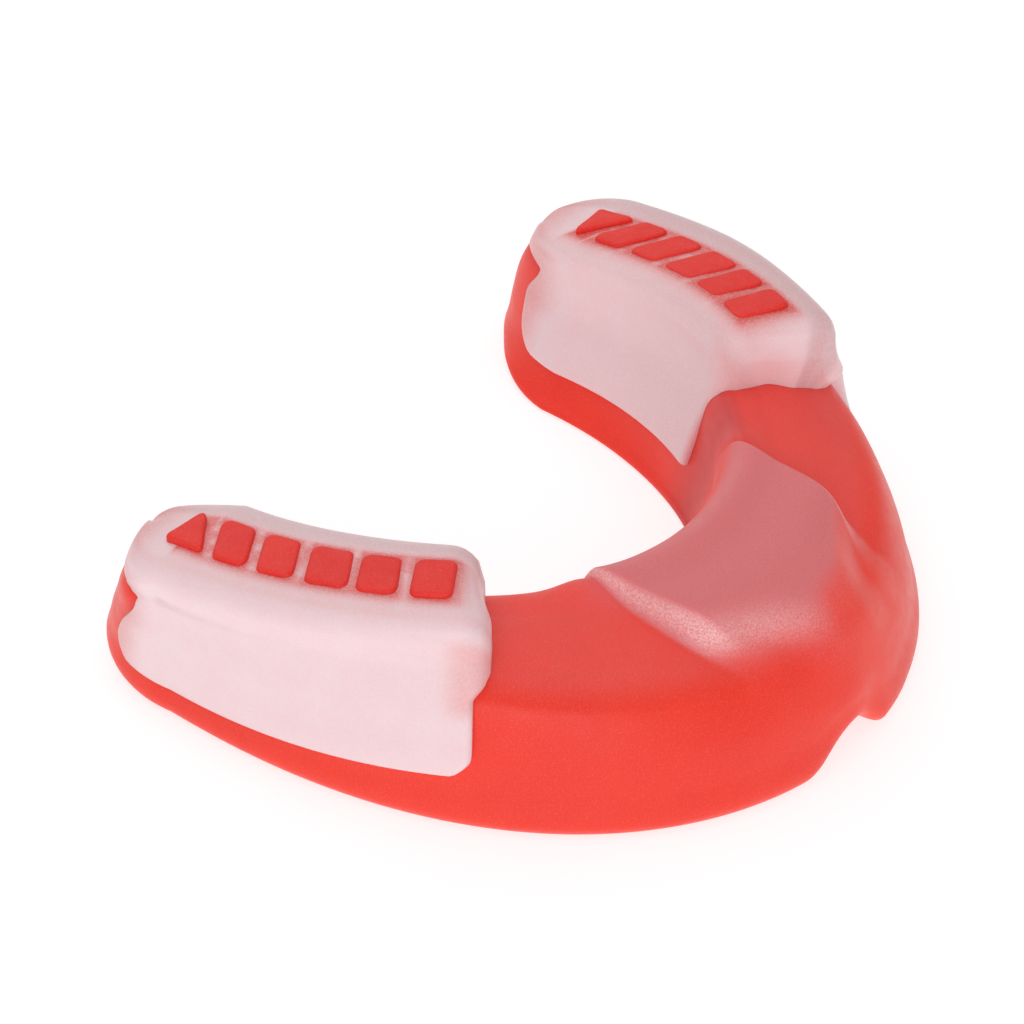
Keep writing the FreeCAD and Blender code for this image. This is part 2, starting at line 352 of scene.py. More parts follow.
def wandering(nodes, main, deep, pale):
    """A soft colour that wanders between two, with paler specks."""
    cloud = nodes.remap(nodes.noise(120.0, 2.0), 0.35, 0.65, 0.0, 1.0)
    speckle = nodes.remap(nodes.noise(9000.0, 2.0), 0.5, 0.8, 0.0, 0.45)
    return nodes.mix(speckle, nodes.mix(cloud, linear(*deep), linear(*main)), linear(*pale))


def shell_material():
    """Red gel. Its colour by place holds painted sheen, a pale pink reflection on the upward faces
    (red channel), a painted highlight, pale and grainy, on the slopes (green) and painted shade, a
    darker red (blue)."""
    nodes = gel("red_gel_frosted", roughness=0.42, grain=0.5, subsurface=0.3,
                scatter=(1.0, 0.22, 0.16), sheen=0.1)
    red = wandering(nodes, main=(251, 53, 29), deep=(244, 47, 27), pale=(250, 112, 94))
    # the colour attribute's channels: painted sheen, painted highlight on the slopes, painted
    # shade
    painted_sheen, light, deep = nodes.channels(nodes.attribute("gel_colour"))
    # painted sheen: pale pinks that stand for the reflection on the upward faces
    painted_sheen_pink = nodes.mix(nodes.remap(nodes.noise(9000.0, 2.0), 0.45, 0.75, 0.0, 0.3),
                      *(linear(*colour) for colour in PAINTED_SHEEN_PINKS))
    # fine specks of the painted highlight on the slopes, like light caught on grain
    grain = nodes.remap(nodes.noise(7000.0, 3.0, 0.7), 0.38, 0.62, 0.25, 0.95)
    # painted shade darkens the red, and the painted sheen lies over it
    colour = nodes.mix(painted_sheen, nodes.mix(deep, red, linear(*PAINTED_SHADE_RED)), painted_sheen_pink)
    nodes.set(Base_Color=nodes.mix(nodes.multiply(light, grain), colour, linear(*LIT_SLOPE)))
    return nodes.material


def stud_material():
    nodes = gel("stud_red_grain", roughness=0.58, grain=0.9, subsurface=0.2,
                scatter=RED_SCATTER, sheen=0.0)
    nodes.set(Base_Color=wandering(nodes, main=(246, 46, 34), deep=(238, 38, 30),
                                   pale=(250, 112, 98)))
    return nodes.material


def liner_material():
    nodes = gel("liner_red_soft", roughness=0.55, grain=0.35, subsurface=0.3,
                scatter=RED_SCATTER, sheen=0.05)
    nodes.set(Base_Color=wandering(nodes, main=(206, 38, 34), deep=(192, 32, 30),
                                   pale=(226, 90, 84)))
    return nodes.material


def core_material():
    nodes = gel("core_red_plain", roughness=0.5, grain=0.3, subsurface=0.2,
                scatter=RED_SCATTER, sheen=0.0)
    nodes.set(Base_Color=wandering(nodes, main=(220, 60, 52), deep=(208, 50, 44),
                                   pale=(236, 110, 100)))
    return nodes.material


def pad_material():
    """Milky, frosted gel; its colour by place says how much red shows through."""
    nodes = gel("clear_gel_milky", roughness=0.36, grain=0.4, subsurface=0.35,
                scatter=(1.0, 0.6, 0.55), sheen=0.05)
    cloud = nodes.remap(nodes.noise(300.0, 4.0, 0.7), 0.3, 0.7, 0.0, 0.1)
    colour = nodes.mix(cloud, nodes.attribute("gel_colour"), linear(*PAD_BLUSH))
    speckle = nodes.remap(nodes.noise(5200.0, 2.0), 0.42, 0.74, 0.0, 0.25)
    nodes.set(Base_Color=nodes.mix(speckle, colour, linear(*PAD_SPECK)))
    return nodes.material


# ---- the shell --------------------------------------------------------------------
# Each row is a point (outward, up) of the molar profile, the midline profile and the
# midline profile over the raised platform, round the wall and back through the channel.
SHELL_ROWS = [
    ((4.1, 0.0), (9.8, 0.0), None),
    ((5.05, 0.08), (10.5, 0.08), None),
    ((5.4, 0.5), (10.8, 0.5), None),
    ((4.8, 3.2), (10.2, 3.4), (10.3, 3.4)),
    ((4.0, 7.5), (8.9, 6.9), (9.3, 6.8)),
    ((3.6, 10.6), (6.9, 9.2), (7.8, 10.1)),
    ((2.0, 12.0), (3.4, 10.2), (4.4, 12.6)),
    ((-1.9, 12.0), (-2.5, 11.3), (-2.5, 13.1)),
    ((-3.5, 10.8), (-6.4, 11.8), (-6.4, 13.0)),
    ((-4.1, 9.4), (-7.3, 10.6), (-7.5, 11.4)),
    ((-5.6, 6.0), (-7.8, 6.0), (-7.8, 6.0)),
    ((-8.4, 1.0), (-8.0, 1.0), None),
    ((-9.1, 0.3), (-8.0, 0.25), None),
    ((-8.7, 0.0), (-7.5, 0.0), None),
    ((-7.2, 0.1), (-6.2, 0.1), None),
    ((-6.6, 0.8), (-5.6, 0.8), None),
    ((-4.9, 4.8), (-4.5, 4.2), None),
    ((-2.9, 8.0), (-2.6, 7.2), None),
    ((-1.0, 8.9), (0.4, 8.0), None),
    ((1.2, 8.1), (3.6, 7.0), None),
    ((2.2, 4.8), (5.8, 4.2), None),
    ((2.6, 0.8), (7.0, 0.8), None),
    ((2.95, 0.1), (8.2, 0.1), None),
]
FIRST_CHANNEL_ROW = 14
LAST_CHEEK_ROW = 5  # the cheek side's wall runs up to this row,
FIRST_CHEEK_ROW = 19  # and from this one, inside the channel, round to row 0
SHELL_SPACING = 0.42  # between the points of a column, in mm
# Spans of stations and how many columns each has. They end just short of the heel's tip.
SHELL_COLUMNS = ((0.0, 0.34, 71), (0.35, 1.0, 84), (1.02, 1.7, 36), (1.712, 1.9995, 25))
CORNER_DROP = 0.6  # how much of the platform's rise is missing at its front corners
PLATFORM_CREASE = 1.4  # above 1, the side slopes are steepest at the foot
PLATFORM_FOOT = 0.262  # station of the platform's side at its foot, on the bite line
PLATFORM_EDGE = 0.222  # and at its top edge
# How fast its right and left side turn from the columns, in station per mm outward.
PLATFORM_TURN = (0.0135, 0.0155)
PLATFORM_FLARE = 0.0035  # how fast its side slope widens toward the front
PLATFORM_TURN_END = 0.7  # station beyond which the columns aren't bent
PAINTED_SHEEN_EDGE = 0.004  # half the width, in station, of the painted sheen's edge at the platform's foot
LEFT_WALL_IN = 0.4  # the left arm's front wall stands in by this much
TONGUE_SWELL = 0.65  # how much the tongue side's edge swells beside the platform
NOTCH_MIDDLE = -1.4  # x of the notch in the front rim
NOTCH_REACH = (6.2, 3.6)  # how far the notch runs to the right and to the left of its middle
NOTCH_HEIGHT = 2.2  # how much the rim is raised
NOTCH_TOP = 8.5  # the wall is not raised above this height
NOTCH_DENT = 1.4  # how far the wall stands back at the rim
NOTCH_DENT_TOP = 6.0
HEEL_FULLNESS = 0.75  # how much further the heel's walls stand out than the arm's
CHANNEL_END = (1.35, 1.75)  # stations between which the channel runs out to the rim


def fuller_heel(column, outward, up):
    """How much further out a point of the heel's walls is than the molar profile."""
    direction = np.clip((outward + 0.2) / 2.0, -1.0, 1.0)
    return HEEL_FULLNESS * direction * smoothstep(up, 3.0, 9.0) * smoothstep(column, 1.15, 1.5)


def down_slope(column):
    """0 on the raised platform, 1 beyond its foot, and between on its side slope."""
    return np.clip((column - PLATFORM_EDGE) / (PLATFORM_FOOT - PLATFORM_EDGE), 0.0, 1.0)


def platform_share(column, forward):
    """1 on the raised platform, falling to 0 at its foot with a crease there, and lower at
    its front corners."""
    corner = smoothstep(column, 0.06, PLATFORM_EDGE) * smoothstep(forward, 1.0, 6.5)
    return (1.0 - down_slope(column) ** PLATFORM_CREASE) * (1.0 - CORNER_DROP * corner)


def shell_colours(side, column, outward, up):
    """How much painted sheen (a pale pink reflection) the shell shows, how much painted highlight
    its slopes get, and how much painted shade darkens its red. The first two are strongest on the
    platform, and the last on the left arm's wall."""
    leftward = smoothstep(side * column, -0.16, 0.02)
    inside = 1.0 - smoothstep(column, PLATFORM_FOOT - PAINTED_SHEEN_EDGE, PLATFORM_FOOT + PAINTED_SHEEN_EDGE)
    front_edge = 4.6 - 2.0 * smoothstep(column, 0.03, PLATFORM_EDGE)
    beyond = outward - front_edge
    tongue_side = 1.0 - smoothstep(-outward, 6.2, 7.3)

    # painted sheen: a pink reflection on the raised platform, fading down its walls, and a little
    # on every upward top
    fade = smoothstep(beyond, -0.6 * leftward, 6.0 - 4.0 * leftward)
    painted_sheen = inside * (1.0 - fade) * smoothstep(up, 5.5, 10.0)
    on_top = smoothstep(up, 8.0, 9.6) * (1.0 - smoothstep(outward, 5.0, 7.5))
    beside = bell(column, PLATFORM_FOOT, 0.05) * smoothstep(-outward, 0.0, 5.0)
    painted_sheen = np.maximum(painted_sheen, (0.18 + 0.35 * beside * (side < 0)) * on_top)
    painted_sheen = painted_sheen * (0.15 + 0.85 * tongue_side)

    # painted highlight on the platform's side and front slopes
    side_slope = np.sin(np.pi * down_slope(column)) * (1.0 - smoothstep(beyond, 0.5, 3.5))
    front_slope = bell(beyond, 1.7, 1.7) * (1.0 - down_slope(column)) * (1.0 - 0.8 * leftward)
    light = np.clip(inside * (side_slope + 0.6 * front_slope), 0.0, 1.0) * tongue_side

    # painted shade: the left arm's tongue-side wall is darkened where it lies in shadow
    deep = bell(column, 0.42, 0.14) * smoothstep(-outward, 4.5, 6.5) * (side > 0)
    return painted_sheen, light, deep


def follow_platform(side, column, outward):
    """Stations of a column's points, bent so that the columns run along the platform's
    sides."""
    distance = np.clip(outward, -8.0, 6.0)
    right_turn, left_turn = PLATFORM_TURN
    turn = np.where(side > 0, left_turn, right_turn)
    edge = PLATFORM_EDGE - (turn + PLATFORM_FLARE) * distance
    foot = PLATFORM_FOOT - turn * distance
    knots = (0.0, PLATFORM_EDGE, PLATFORM_FOOT, PLATFORM_TURN_END)
    targets = (0.0, edge, foot, PLATFORM_TURN_END)
    station = np.array(column, float)
    for start, end, new_start, new_end in zip(knots, knots[1:], targets, targets[1:]):
        inside = (column > start) & (column <= end)
        share = (column - start) / (end - start)
        station = np.where(inside, new_start + (new_end - new_start) * share, station)
    return station


def notch(points, cheek_row):
    """Raises and dents the front wall's rim at the midline, on the rows of that wall."""
    x = points[..., 0] - NOTCH_MIDDLE
    reach = np.where(x < 0, *NOTCH_REACH)
    share = np.cos(np.pi / 2 * np.clip(x / reach, -1.0, 1.0)) ** 2 * cheek_row
    height = points[..., 2]
    points[..., 2] = height + NOTCH_HEIGHT * share * np.clip(1.0 - height / NOTCH_TOP, 0.0, 1.0)
    points[..., 1] += NOTCH_DENT * share * (1.0 - smoothstep(height, 0.0, NOTCH_DENT_TOP))
    return points


def build_shell():
    molar, front, over = zip(*SHELL_ROWS)
    over = [row or front[i] for i, row in enumerate(over)]
    (molar_run, front_run, over_run), row = sampled((molar, front, over), SHELL_SPACING)
    wall_row = row < FIRST_CHANNEL_ROW
    side, column = mirrored(np.concatenate([np.linspace(*span) for span in SHELL_COLUMNS]))
    outward, _ = blended(column, molar_run, front_run)
    station = follow_platform(side, column, outward)
    outward, up = blended(station, molar_run, front_run)

    raised = platform_share(column, over_run[:, 0])
    outward = outward + (over_run - front_run)[:, 0] * raised
    up = up + (over_run - front_run)[:, 1] * raised
    outward = outward + fuller_heel(column, outward, up) * wall_row
    left_wall = bell(column, 0.38, 0.16) * (side > 0) * smoothstep(outward, 2.0, 6.0)
    outward = outward - LEFT_WALL_IN * left_wall * wall_row
    swell = bell(column, 0.3, 0.07) * smoothstep(-outward, 2.0, 6.0) * smoothstep(up, 7.0, 10.0)
    up = up + TONGUE_SWELL * swell * wall_row
    channel_left = 1.0 - smoothstep(column, *CHANNEL_END)
    up = np.where(wall_row, up, up * channel_left)

    cheek_row = (row <= LAST_CHEEK_ROW) | (row >= FIRST_CHEEK_ROW)
    points = notch(place(side, station, outward, up), cheek_row)
    points[..., 2] = np.maximum(points[..., 2], 0.0)
    shades = [shade * wall_row for shade in shell_colours(side, column, *over_run.T)]
    colours = np.stack([*shades, np.ones(up.shape)], axis=-1)
    add_piece("shell", points, shell_material(), ["outer_shell"], colours)


# ---- the liner --------------------------------------------------------------------
# Its molar and midline profiles, up the walls of the channel and back down its inside.
LINER_ROWS = [
    ((2.6, 0.9), (6.95, 0.9)),
    ((2.2, 4.8), (5.8, 4.2)),
    ((1.2, 8.1), (3.6, 7.0)),
    ((-1.0, 8.9), (0.4, 8.0)),
    ((-2.9, 8.0), (-2.6, 7.2)),
    ((-4.9, 4.8), (-4.5, 4.2)),
    ((-6.5, 0.9), (-5.6, 0.9)),
    ((-5.9, 0.8), (-4.9, 0.8)),
    ((-4.1, 4.6), (-3.6, 4.2)),
    ((-2.4, 6.9), (-2.1, 6.2)),
    ((-1.0, 7.6), (0.4, 6.8)),
    ((0.6, 6.9), (2.9, 5.9)),
    ((1.4, 4.6), (5.0, 3.8)),
    ((1.9, 0.8), (6.2, 0.8)),
]
LAST_LINER_CHEEK_ROW = 1
FIRST_LINER_CHEEK_ROW = 11
LINER_SPACING = 0.6
LINER_END = 1.55  # station of its rear end
LINER_COLUMNS = 240
LINER_RIM = 0.35  # height that its roof runs down to at the rear


def build_liner():
    (molar_run, front_run), row = sampled(tuple(zip(*LINER_ROWS)), LINER_SPACING)
    signed = np.linspace(-LINER_END, LINER_END, LINER_COLUMNS)[:, None]
    side = np.where(signed < 0, -1.0, 1.0)
    column = np.abs(signed)
    outward, up = blended(column, molar_run, front_run)
    up = LINER_RIM + (up - LINER_RIM) * (1.0 - smoothstep(column, *CHANNEL_END))
    cheek_row = (row <= LAST_LINER_CHEEK_ROW) | (row >= FIRST_LINER_CHEEK_ROW)
    points = notch(place(side, column, outward, up), cheek_row)
    add_piece("liner", points, liner_material(), ["fit_liner"])


# ---- the stud row -----------------------------------------------------------------
STUD_COUNT = 6  # counted from the rear
STUD_PITCH = 4.1
STUD_LENGTH = 3.2
STUD_HALF_WIDTH = 2.15
STUD_SLOT_ANGLE = 32.0  # degrees the gaps between the studs are turned in plan
STUD_PROUD = 0.7  # how far the studs stand out of the pad
STUD_CORNER = 0.85
STUD_EDGE = 0.35  # radius of the studs' top edges
STUD_EDGE_STEPS = 6
STUD_CROWN = 0.05  # how much a stud's top rises to its middle
STUD_TOP_RINGS = (0.85, 0.65, 0.45, 0.25, 0.08)  # their sizes, as shares of the top's
STUD_SPACING = 0.3
STUD_BOTTOM = 13.6
REAR_STUD_OFFSET = 1.0  # how far behind the molar line the rear stud's middle is
REAR_STUD_STRETCH = np.array([-0.1, 0.9])
REAR_STUD_CORNER = 0.5
LEFT_STUD_WIDER = 0.5  # the left studs reach further to the tongue side
LONG_STUD = 3  # the fourth stud is a little longer than the others
LONG_STUD_EXTRA = 0.35
ROW_STATION = 0.8  # where the drift of the whole row is taken


# ---- the molar pads ---------------------------------------------------------------
# Rows (outward, up) from inside the cheek panel's lower border, over the cap, to the
# tongue side's lower border: the molar profile and the midline profile.
PAD_ROWS = [
    ((3.3, 3.05), (9.4, 8.2)),
    ((4.5, 2.4), (10.2, 7.55)),
    ((5.05, 2.65), (10.75, 7.85)),
    ((5.1, 3.4), (10.7, 8.5)),
    ((5.0, 6.0), (9.6, 9.8)),
    ((4.98, 8.6), (8.3, 11.4)),
    ((4.9, 10.8), (7.0, 13.0)),
    ((5.05, 12.4), (5.7, 14.2)),
    ((5.45, 13.8), (5.0, 15.2)),
    ((5.5, 14.8), (4.8, 16.1)),
    ((5.1, 15.6), (4.3, 16.95)),
    ((4.2, 16.0), (3.5, 17.4)),
    ((2.2, 16.1), (2.0, 17.58)),
    ((0.0, 16.1), (0.0, 17.6)),
    ((-2.0, 16.12), (-1.8, 17.58)),
    ((-3.9, 16.0), (-3.5, 17.35)),
    ((-4.9, 15.45), (-4.5, 16.7)),
    ((-5.2, 14.2), (-5.0, 15.4)),
    ((-5.0, 12.6), (-5.1, 13.9)),
    ((-4.85, 11.1), (-5.6, 12.5)),
    ((-5.1, 9.0), (-6.9, 10.6)),
    ((-6.0, 7.0), (-7.9, 8.4)),
    ((-7.2, 4.3), (-8.2, 5.6)),
    ((-7.4, 3.7), (-8.25, 5.0)),
    ((-7.0, 3.3), (-7.8, 4.7)),
    ((-6.0, 3.7), (-7.0, 5.1)),
]
PAD_INNER_ROWS = [((-3.6, 8.0), (-5.6, 8.4)), ((-2.4, 10.4), (-3.4, 10.0)),
                  ((2.4, 10.4), (3.4, 10.0)), ((2.7, 8.0), (7.0, 9.4))]
PAD_SPACING = 0.3
PAD_COLUMNS = 120
PAD_START = 0.571  # station of its front end, low on the tongue side
CHEEK_START = 0.018  # how much further forward the cheek side starts, in station,
WALL_START = 0.015  # and the wall above the panels,
CAP_START = 0.006  # and the cap
LEFT_CAP_START = 0.01  # and the upper half of the left pad
STATION_PER_MM = 0.022  # near the pads' front ends
CAP_FOOT = (10.8, 12.6)  # heights of the molar profile between which the wall becomes the cap
CAP_END = 0.975  # how far the cap runs round the heel, as a share of the quarter turn
CHEEK_PANEL_REACH = 5.9  # how far the panels run behind the molar line
CHEEK_PANEL_FOOT = 2.4  # height of the panel's lower border
CHEEK_PANEL_CORNER = 1.9  # radius of the panel's lower corners
CHEEK_CORNER_PULL = 0.8  # how strongly the lower rear corner is rounded
CHEEK_NECK = 3.0  # how much shorter the panel is just below the cap
TONGUE_PANEL_REACH = 5.6
TONGUE_PANEL_FOOT = 3.4
TONGUE_PANEL_CORNER = 2.4
TONGUE_NECK = 1.4
LEFT_CAP_WIDER = 0.5
SPINE = (0.0, 8.0)  # the point in a profile that the pad's ends close in on
END_RADIUS = 0.35  # of the edge round the pad's ends, and what the cap adds to it
FRONT_RADIUS_GAIN = 2.3
REAR_RADIUS_GAIN = 1.4
FRONT_STEP = 0.4  # how much deeper than the rounding the next to last ring sinks
REAR_STEP = 0.3
END_CLOSURE = 0.72  # how far the outermost rings close in on the spine, as a share
DEEPEST_SINK = 0.75
MILKY = (245, 216, 220)
GREY_PINK = (216, 178, 181)
PINK = (236, 160, 160)
ROSE = (228, 142, 142)
GLOW_RED = (230, 72, 64)
GLOW_AHEAD = 0.85  # how far a stud's glow reaches, in mm: ahead of it and behind it,
GLOW_BEHIND = 0.4
GLOW_RIGHTWARD = 0.75  # and to the part's right and left
GLOW_LEFTWARD = 0.35
LEFT_GLOW = 1.35  # how much further the glow reaches in the left pad


def end_sink(distance, radius):
    """How far a rounded end sinks at a distance from the end."""
    short = np.clip(radius - distance, 0.0, radius)
    return radius - np.sqrt(radius ** 2 - short ** 2)


def pad_front_station(side, outward, up):
    """Where each row of the pad starts, with a rounded corner at the cheek panel's foot."""
    start = PAD_START - CHEEK_START * smoothstep(outward, -3.0, 3.0)
    start = start - WALL_START * smoothstep(up, 9.4, 11.2) - CAP_START * smoothstep(up, *CAP_FOOT)
    if side > 0:
        start = start - LEFT_CAP_START * smoothstep(up, 8.0, 11.0)
    corner = end_sink(up - CHEEK_PANEL_FOOT, CHEEK_PANEL_CORNER)
    return start + np.where(outward > 0.0, corner, 0.0) * STATION_PER_MM


def pad_rear_station(outward, up):
    """Where each row of the pad ends: the panels stop short, and the cap runs round the
    heel."""
    corner = end_sink(up - CHEEK_PANEL_FOOT, CHEEK_PANEL_CORNER)
    cheek = CHEEK_PANEL_REACH - CHEEK_CORNER_PULL * corner
    cheek = cheek - CHEEK_NECK * smoothstep(up, 4.5, 10.8)
    tongue = TONGUE_PANEL_REACH - end_sink(up - TONGUE_PANEL_FOOT, TONGUE_PANEL_CORNER)
    tongue = tongue - TONGUE_NECK * smoothstep(up, 7.5, 10.6)
    reach = np.where(outward > ARM_MIDDLE, cheek, tongue) / (HEEL_LENGTH - HEEL_LEAN * up)
    turn = np.degrees(np.arcsin(np.clip(reach, 0.0, 1.0))) / 90.0
    return 1.0 + turn + (CAP_END - turn) * smoothstep(up, *CAP_FOOT)


def blend_colours(start, *steps):
    """Linear colours of points: a start colour, then each (share, colour) laid over it."""
    colour = np.array(linear(*start))
    for share, over in steps:
        share = np.clip(share, 0.0, 1.0)[..., None]
        colour = colour + (np.array(linear(*over)) - colour) * share
    return colour


def near_studs(side, station, outward):
    """1 over a stud, falling off with distance: slowly to the front and to the right, where
    more of its walls shows through the gel."""
    _, _, normal_x, normal_y = bite_line(station)
    slant = np.tan(math.radians(STUD_SLOT_ANGLE) - np.arctan2(-normal_y, normal_x))
    ahead = distance_ahead(station) - outward * slant
    index = np.clip(np.round((ahead + REAR_STUD_OFFSET) / STUD_PITCH), 0, STUD_COUNT - 1)
    along = ahead - (index * STUD_PITCH - REAR_STUD_OFFSET)
    half_width = STUD_HALF_WIDTH + np.where((side > 0) & (outward < 0.0), LEFT_STUD_WIDER, 0.0)
    along_gap = np.maximum(np.abs(along) - STUD_LENGTH / 2, 0.0)
    across_gap = np.maximum(np.abs(outward) - half_width, 0.0)
    along_fall = np.where(along > 0.0, GLOW_AHEAD, GLOW_BEHIND)
    across_fall = np.where(side * outward < 0.0, GLOW_RIGHTWARD, GLOW_LEFTWARD)
    reach = LEFT_GLOW if side > 0 else 1.0
    distance = np.hypot(along_gap / along_fall, across_gap / across_fall) / reach
    return np.exp(-distance ** 1.5)


def pad_colours(side, station, outward, up):
    """Milky gel, pinker where the red below is near: round the studs, at the cap's edges
    and at the heel."""
    left = side > 0
    on_top = smoothstep(up, 14.2, 15.5)
    thin_wall = smoothstep(-outward, 3.0, 5.0) * (0.45 - 0.25 * smoothstep(station, 0.6, 0.95))
    thin_strip = smoothstep(side * outward, 2.2, 3.2) * smoothstep(up, 11.5, 14.0)
    streak = bell(outward, 3.9, 0.5) * on_top
    panel_end = smoothstep(station, 1.16, 1.4) * (1.0 - smoothstep(up, 8.0, 10.0))
    front_end = (1.0 - smoothstep(station, 0.56, 0.605)) * smoothstep(up, 7.5, 9.5)
    heel = smoothstep(station, 1.2, 1.75) * smoothstep(up, 9.0, 12.5)
    heel_wall = smoothstep(station, 1.05, 1.45) * smoothstep(up, 7.0, 9.5) * (1.0 - on_top)
    glow = near_studs(side, station, outward) * on_top
    return blend_colours(
        MILKY, (thin_wall * left, GREY_PINK), (0.7 * thin_strip, GREY_PINK),
        (0.25 * streak, PINK), (0.8 * panel_end, PINK),
        ((0.25 if left else 0.6) * front_end * (1.0 - on_top), PINK),
        (0.7 * np.maximum(heel, heel_wall), ROSE), ((1.0 if left else 0.9) * glow, GLOW_RED))


def rounded_ends(surface, outward, up, level):
    """Outward and up of the pad's points, with both ends rounded and drawn in toward the
    spine. The two outermost columns at each end stand on the end itself."""
    steps = np.linalg.norm(np.diff(surface, axis=0), axis=2)
    along = np.concatenate([np.zeros((1, steps.shape[1])), np.cumsum(steps, axis=0)])
    front_radius = END_RADIUS + FRONT_RADIUS_GAIN * smoothstep(level, 8.0, 15.0)
    rear_radius = END_RADIUS + REAR_RADIUS_GAIN * smoothstep(level, *CAP_FOOT)
    sink = end_sink(along, front_radius) + end_sink(along[-1] - along, rear_radius)
    to_spine = np.stack([SPINE[0] - outward, SPINE[1] - up], axis=-1)
    depth = np.linalg.norm(to_spine, axis=-1)
    sink[0] = END_CLOSURE * depth[0]
    sink[1] = front_radius + FRONT_STEP
    sink[-2] = rear_radius + REAR_STEP
    sink[-1] = END_CLOSURE * depth[-1]
    sink = np.minimum(sink, DEEPEST_SINK * depth)
    toward = to_spine / depth[..., None]
    return outward + toward[..., 0] * sink, up + toward[..., 1] * sink


def build_pad(side, name, material):
    (molar_run, front_run), _ = sampled(tuple(zip(*(PAD_ROWS + PAD_INNER_ROWS))), PAD_SPACING)
    level = molar_run[:, 1]
    start = pad_front_station(side, *molar_run.T)
    rear = pad_rear_station(*blended(np.ones(len(molar_run)), molar_run, front_run))
    share = np.concatenate([[0, 0], np.linspace(0.0, 1.0, PAD_COLUMNS), [1, 1]])[:, None]
    station = start + (rear - start) * share
    outward, up = blended(station, molar_run, front_run)
    if side > 0:
        edge = smoothstep(outward, 3.0, 5.0) * smoothstep(level, *CAP_FOOT)
        outward = outward + LEFT_CAP_WIDER * edge * smoothstep(station, 0.62, 0.85)
    surface = place(side, station, outward, up)
    colours = pad_colours(side, station, outward, np.broadcast_to(level, up.shape))
    points = place(side, station, *rounded_ends(surface, outward, up, level))
    add_piece(f"{name}_pad", points, material, [f"{name}_molar_pad"], colours)


# ---- the bite studs ---------------------------------------------------------------
def stud_corners(side, index):
    """Corners of a stud in plan, as if its arm were on the positive x side."""
    middle = index * STUD_PITCH - REAR_STUD_OFFSET
    front = STUD_LENGTH / 2 + (LONG_STUD_EXTRA if index == LONG_STUD else 0.0)
    angle = math.radians(STUD_SLOT_ANGLE)
    slot = np.array([math.cos(angle), -math.sin(angle)])
    corners = []
    for along, outward_signs in ((front, (-1, 1)), (-STUD_LENGTH / 2, (1, -1))):
        x, y, normal_x, normal_y = bite_line(station_ahead(middle + along))
        half = STUD_HALF_WIDTH / (slot @ np.array([normal_x, normal_y]))
        tongue_half = half + (LEFT_STUD_WIDER if side > 0 else 0.0)
        corners += [np.array([x, y]) + slot * (half if sign > 0 else -tongue_half)
                    for sign in outward_signs]
    if index == 0:  # the rear stud is a triangle
        corners.pop()
        corners[0] = corners[0] + REAR_STUD_STRETCH
        corners[2] = corners[2] + REAR_STUD_STRETCH
    return corners


def rounded_outline(corners, radius, steps=6):
    """A polygon with each corner replaced by a curve."""
    outline = []
    for i, corner in enumerate(corners):
        before = corners[i - 1] - corner
        after = corners[(i + 1) % len(corners)] - corner
        before /= np.linalg.norm(before)
        after /= np.linalg.norm(after)
        half = math.acos(np.clip(before @ after, -1, 1)) / 2
        reach = radius / math.tan(half)
        start, end = corner + before * reach, corner + after * reach
        for step in range(steps + 1):
            t = step / steps
            outline.append(start * (1 - t) ** 2 + corner * 2 * t * (1 - t) + end * t ** 2)
    return np.array(outline)


def dense_outline(outline, spacing):
    """The outline with its long sides divided."""
    dense = []
    for a, b in zip(outline, np.roll(outline, -1, axis=0)):
        count = max(1, int(np.linalg.norm(b - a) / spacing))
        dense += [a + (b - a) * step / count for step in range(count)]
    return np.array(dense)


def pad_top(y):
    """Height of the pad's top, which falls toward the rear."""
    return PAD_HEIGHT - PAD_SLOPE * (y - MOLAR_Y + ROW_MIDDLE)


def build_stud(side, name, index, material):
    """A stud: straight walls, a rounded top edge and a slightly crowned top."""
    radius = STUD_CORNER if index else REAR_STUD_CORNER
    outline = dense_outline(rounded_outline(stud_corners(side, index), radius), STUD_SPACING)
    centre = outline.mean(axis=0)
    offsets = outline - centre
    reach = np.linalg.norm(offsets, axis=1, keepdims=True)
    rings = []
    for turn in np.radians(np.linspace(0.0, 90.0, STUD_EDGE_STEPS + 1)):
        inset = STUD_EDGE * (1 - math.cos(turn))
        rings.append((1 - inset / reach, STUD_PROUD - STUD_EDGE * (1 - math.sin(turn))))
    for share in STUD_TOP_RINGS:
        rings.append((share * (1 - STUD_EDGE / reach), STUD_PROUD + STUD_CROWN * (1 - share ** 2)))
    layers = [np.column_stack([outline, np.full(len(outline), STUD_BOTTOM)])]
    for factor, height in rings:
        flat = centre + offsets * factor
        layers.append(np.column_stack([flat, pad_top(flat[:, 1]) + height]))
    points = np.array(layers)
    points[..., 0] *= side
    points[..., 1] += arm_drift(side, ROW_STATION, PAD_HEIGHT)
    add_piece(f"{name}_stud_{index + 1}", points, material,
              [f"{name}_bite_stud_{index + 1}"])


# ---- floor, light and camera ------------------------------------------------------
FLOOR_HALF = 1.5
FLOOR_GREYS = ((0.35, 0.35, 0.35, 1), (0.4, 0.4, 0.4, 1))
FLOOR_GLOW = 0.7
SKY_STRENGTH = 0.5
LOOK_AT = (0, 0, 0.008)
LIGHTS = (  # name, position, size in metres and power in watts
    ("over", (0.02, 0.1, 0.45), 0.5, 0.5),
    ("behind", (0.28, 0.4, 0.25), 0.35, 0.35),
    ("front", (-0.42, -0.3, 0.24), 0.4, 0.95),
)
WHITE = (1, 1, 1, 1)


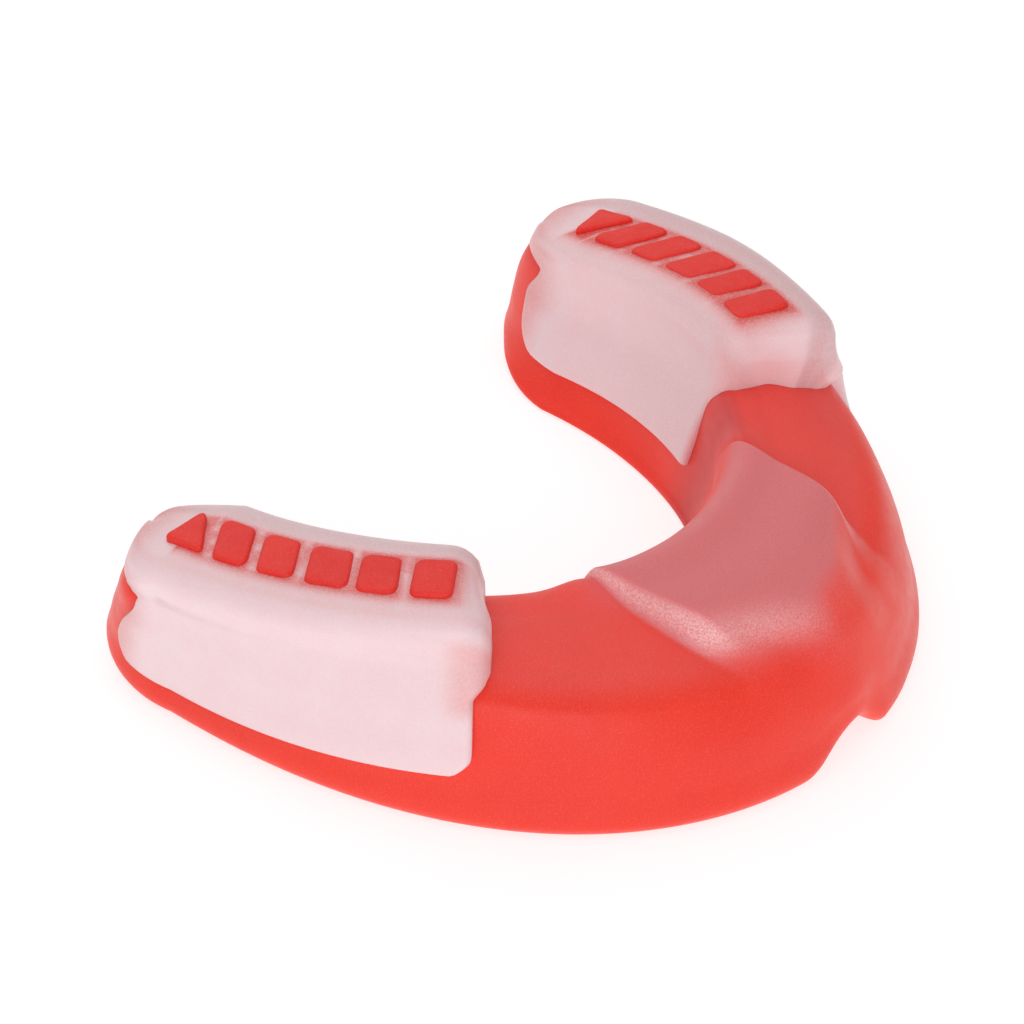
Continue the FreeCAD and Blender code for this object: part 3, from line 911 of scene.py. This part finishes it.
def build_floor():
    turns = ((-1, -1), (1, -1), (1, 1), (-1, 1))
    corners = [(x * FLOOR_HALF, y * FLOOR_HALF, 0) for x, y in turns]
    mesh = bpy.data.meshes.new("floor")
    mesh.from_pydata(corners, [], [(0, 1, 2, 3)])
    nodes = Nodes("floor_white")
    tone = nodes.remap(nodes.noise(40.0, 2.0), 0.3, 0.7, 0.93, 0.95)
    nodes.set(Base_Color=nodes.mix(tone, *FLOOR_GREYS), Roughness=0.9,
              Emission_Color=WHITE, Emission_Strength=FLOOR_GLOW)
    mesh.materials.append(nodes.material)
    floor = bpy.data.objects.new("floor", mesh)
    bpy.context.scene.collection.objects.link(floor)


def build_light():
    world = bpy.data.worlds.new("studio")
    world.use_nodes = True
    background = world.node_tree.nodes["Background"]
    background.inputs["Color"].default_value = WHITE
    background.inputs["Strength"].default_value = SKY_STRENGTH
    bpy.context.scene.world = world
    for name, position, size, power in LIGHTS:
        data = bpy.data.lights.new(name, "AREA")
        data.size = size
        data.energy = power
        light = bpy.data.objects.new(name, data)
        light.location = position
        direction = Vector(LOOK_AT) - Vector(position)
        light.rotation_euler = direction.to_track_quat("-Z", "Y").to_euler()
        bpy.context.scene.collection.objects.link(light)
    bpy.context.scene.view_settings.view_transform = "Standard"


CAMERA_TURN = -52.2227  # degrees about Z, from looking along +Y
CAMERA_HEIGHT = 40.0  # degrees above the floor
CAMERA_DISTANCE = 212.0  # mm, as are the next two
CAMERA_AIM = (0.215, 3.391)  # to the picture's right of the arch's middle and above it
ARCH_MIDDLE_Y = 7.9
CAMERA_LENS = 89.15
CAMERA_SENSOR = 36
CAMERA_NEAREST = 0.01  # metres


def build_camera():
    turn = math.radians(CAMERA_TURN)
    height = math.radians(CAMERA_HEIGHT)
    right = Vector((math.cos(turn), math.sin(turn), 0))
    back = Vector((math.sin(turn) * math.cos(height), -math.cos(turn) * math.cos(height),
                   math.sin(height)))
    above = back.cross(right)
    position = right * CAMERA_AIM[0] + above * CAMERA_AIM[1] + back * CAMERA_DISTANCE
    position += Vector((0, ARCH_MIDDLE_Y, 0))
    data = bpy.data.cameras.new("camera")
    data.lens = CAMERA_LENS
    data.sensor_width = CAMERA_SENSOR
    data.clip_start = CAMERA_NEAREST
    camera = bpy.data.objects.new("camera", data)
    matrix = Matrix((right, above, back)).transposed().to_4x4()
    matrix.translation = position * MM
    camera.matrix_world = matrix
    bpy.context.scene.collection.objects.link(camera)
    bpy.context.scene.camera = camera


# ---- the whole scene --------------------------------------------------------------
build_shell()
build_liner()
clear_gel = pad_material()
stud_red = stud_material()
core_red = core_material()
for side, name in ((-1, "right"), (1, "left")):
    build_pad(side, name, clear_gel)
    for index in range(STUD_COUNT):
        build_stud(side, name, index, stud_red)
    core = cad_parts[f"{name}_bite_core"]
    core.data.materials.clear()
    core.data.materials.append(core_red)
build_floor()
build_light()
build_camera()
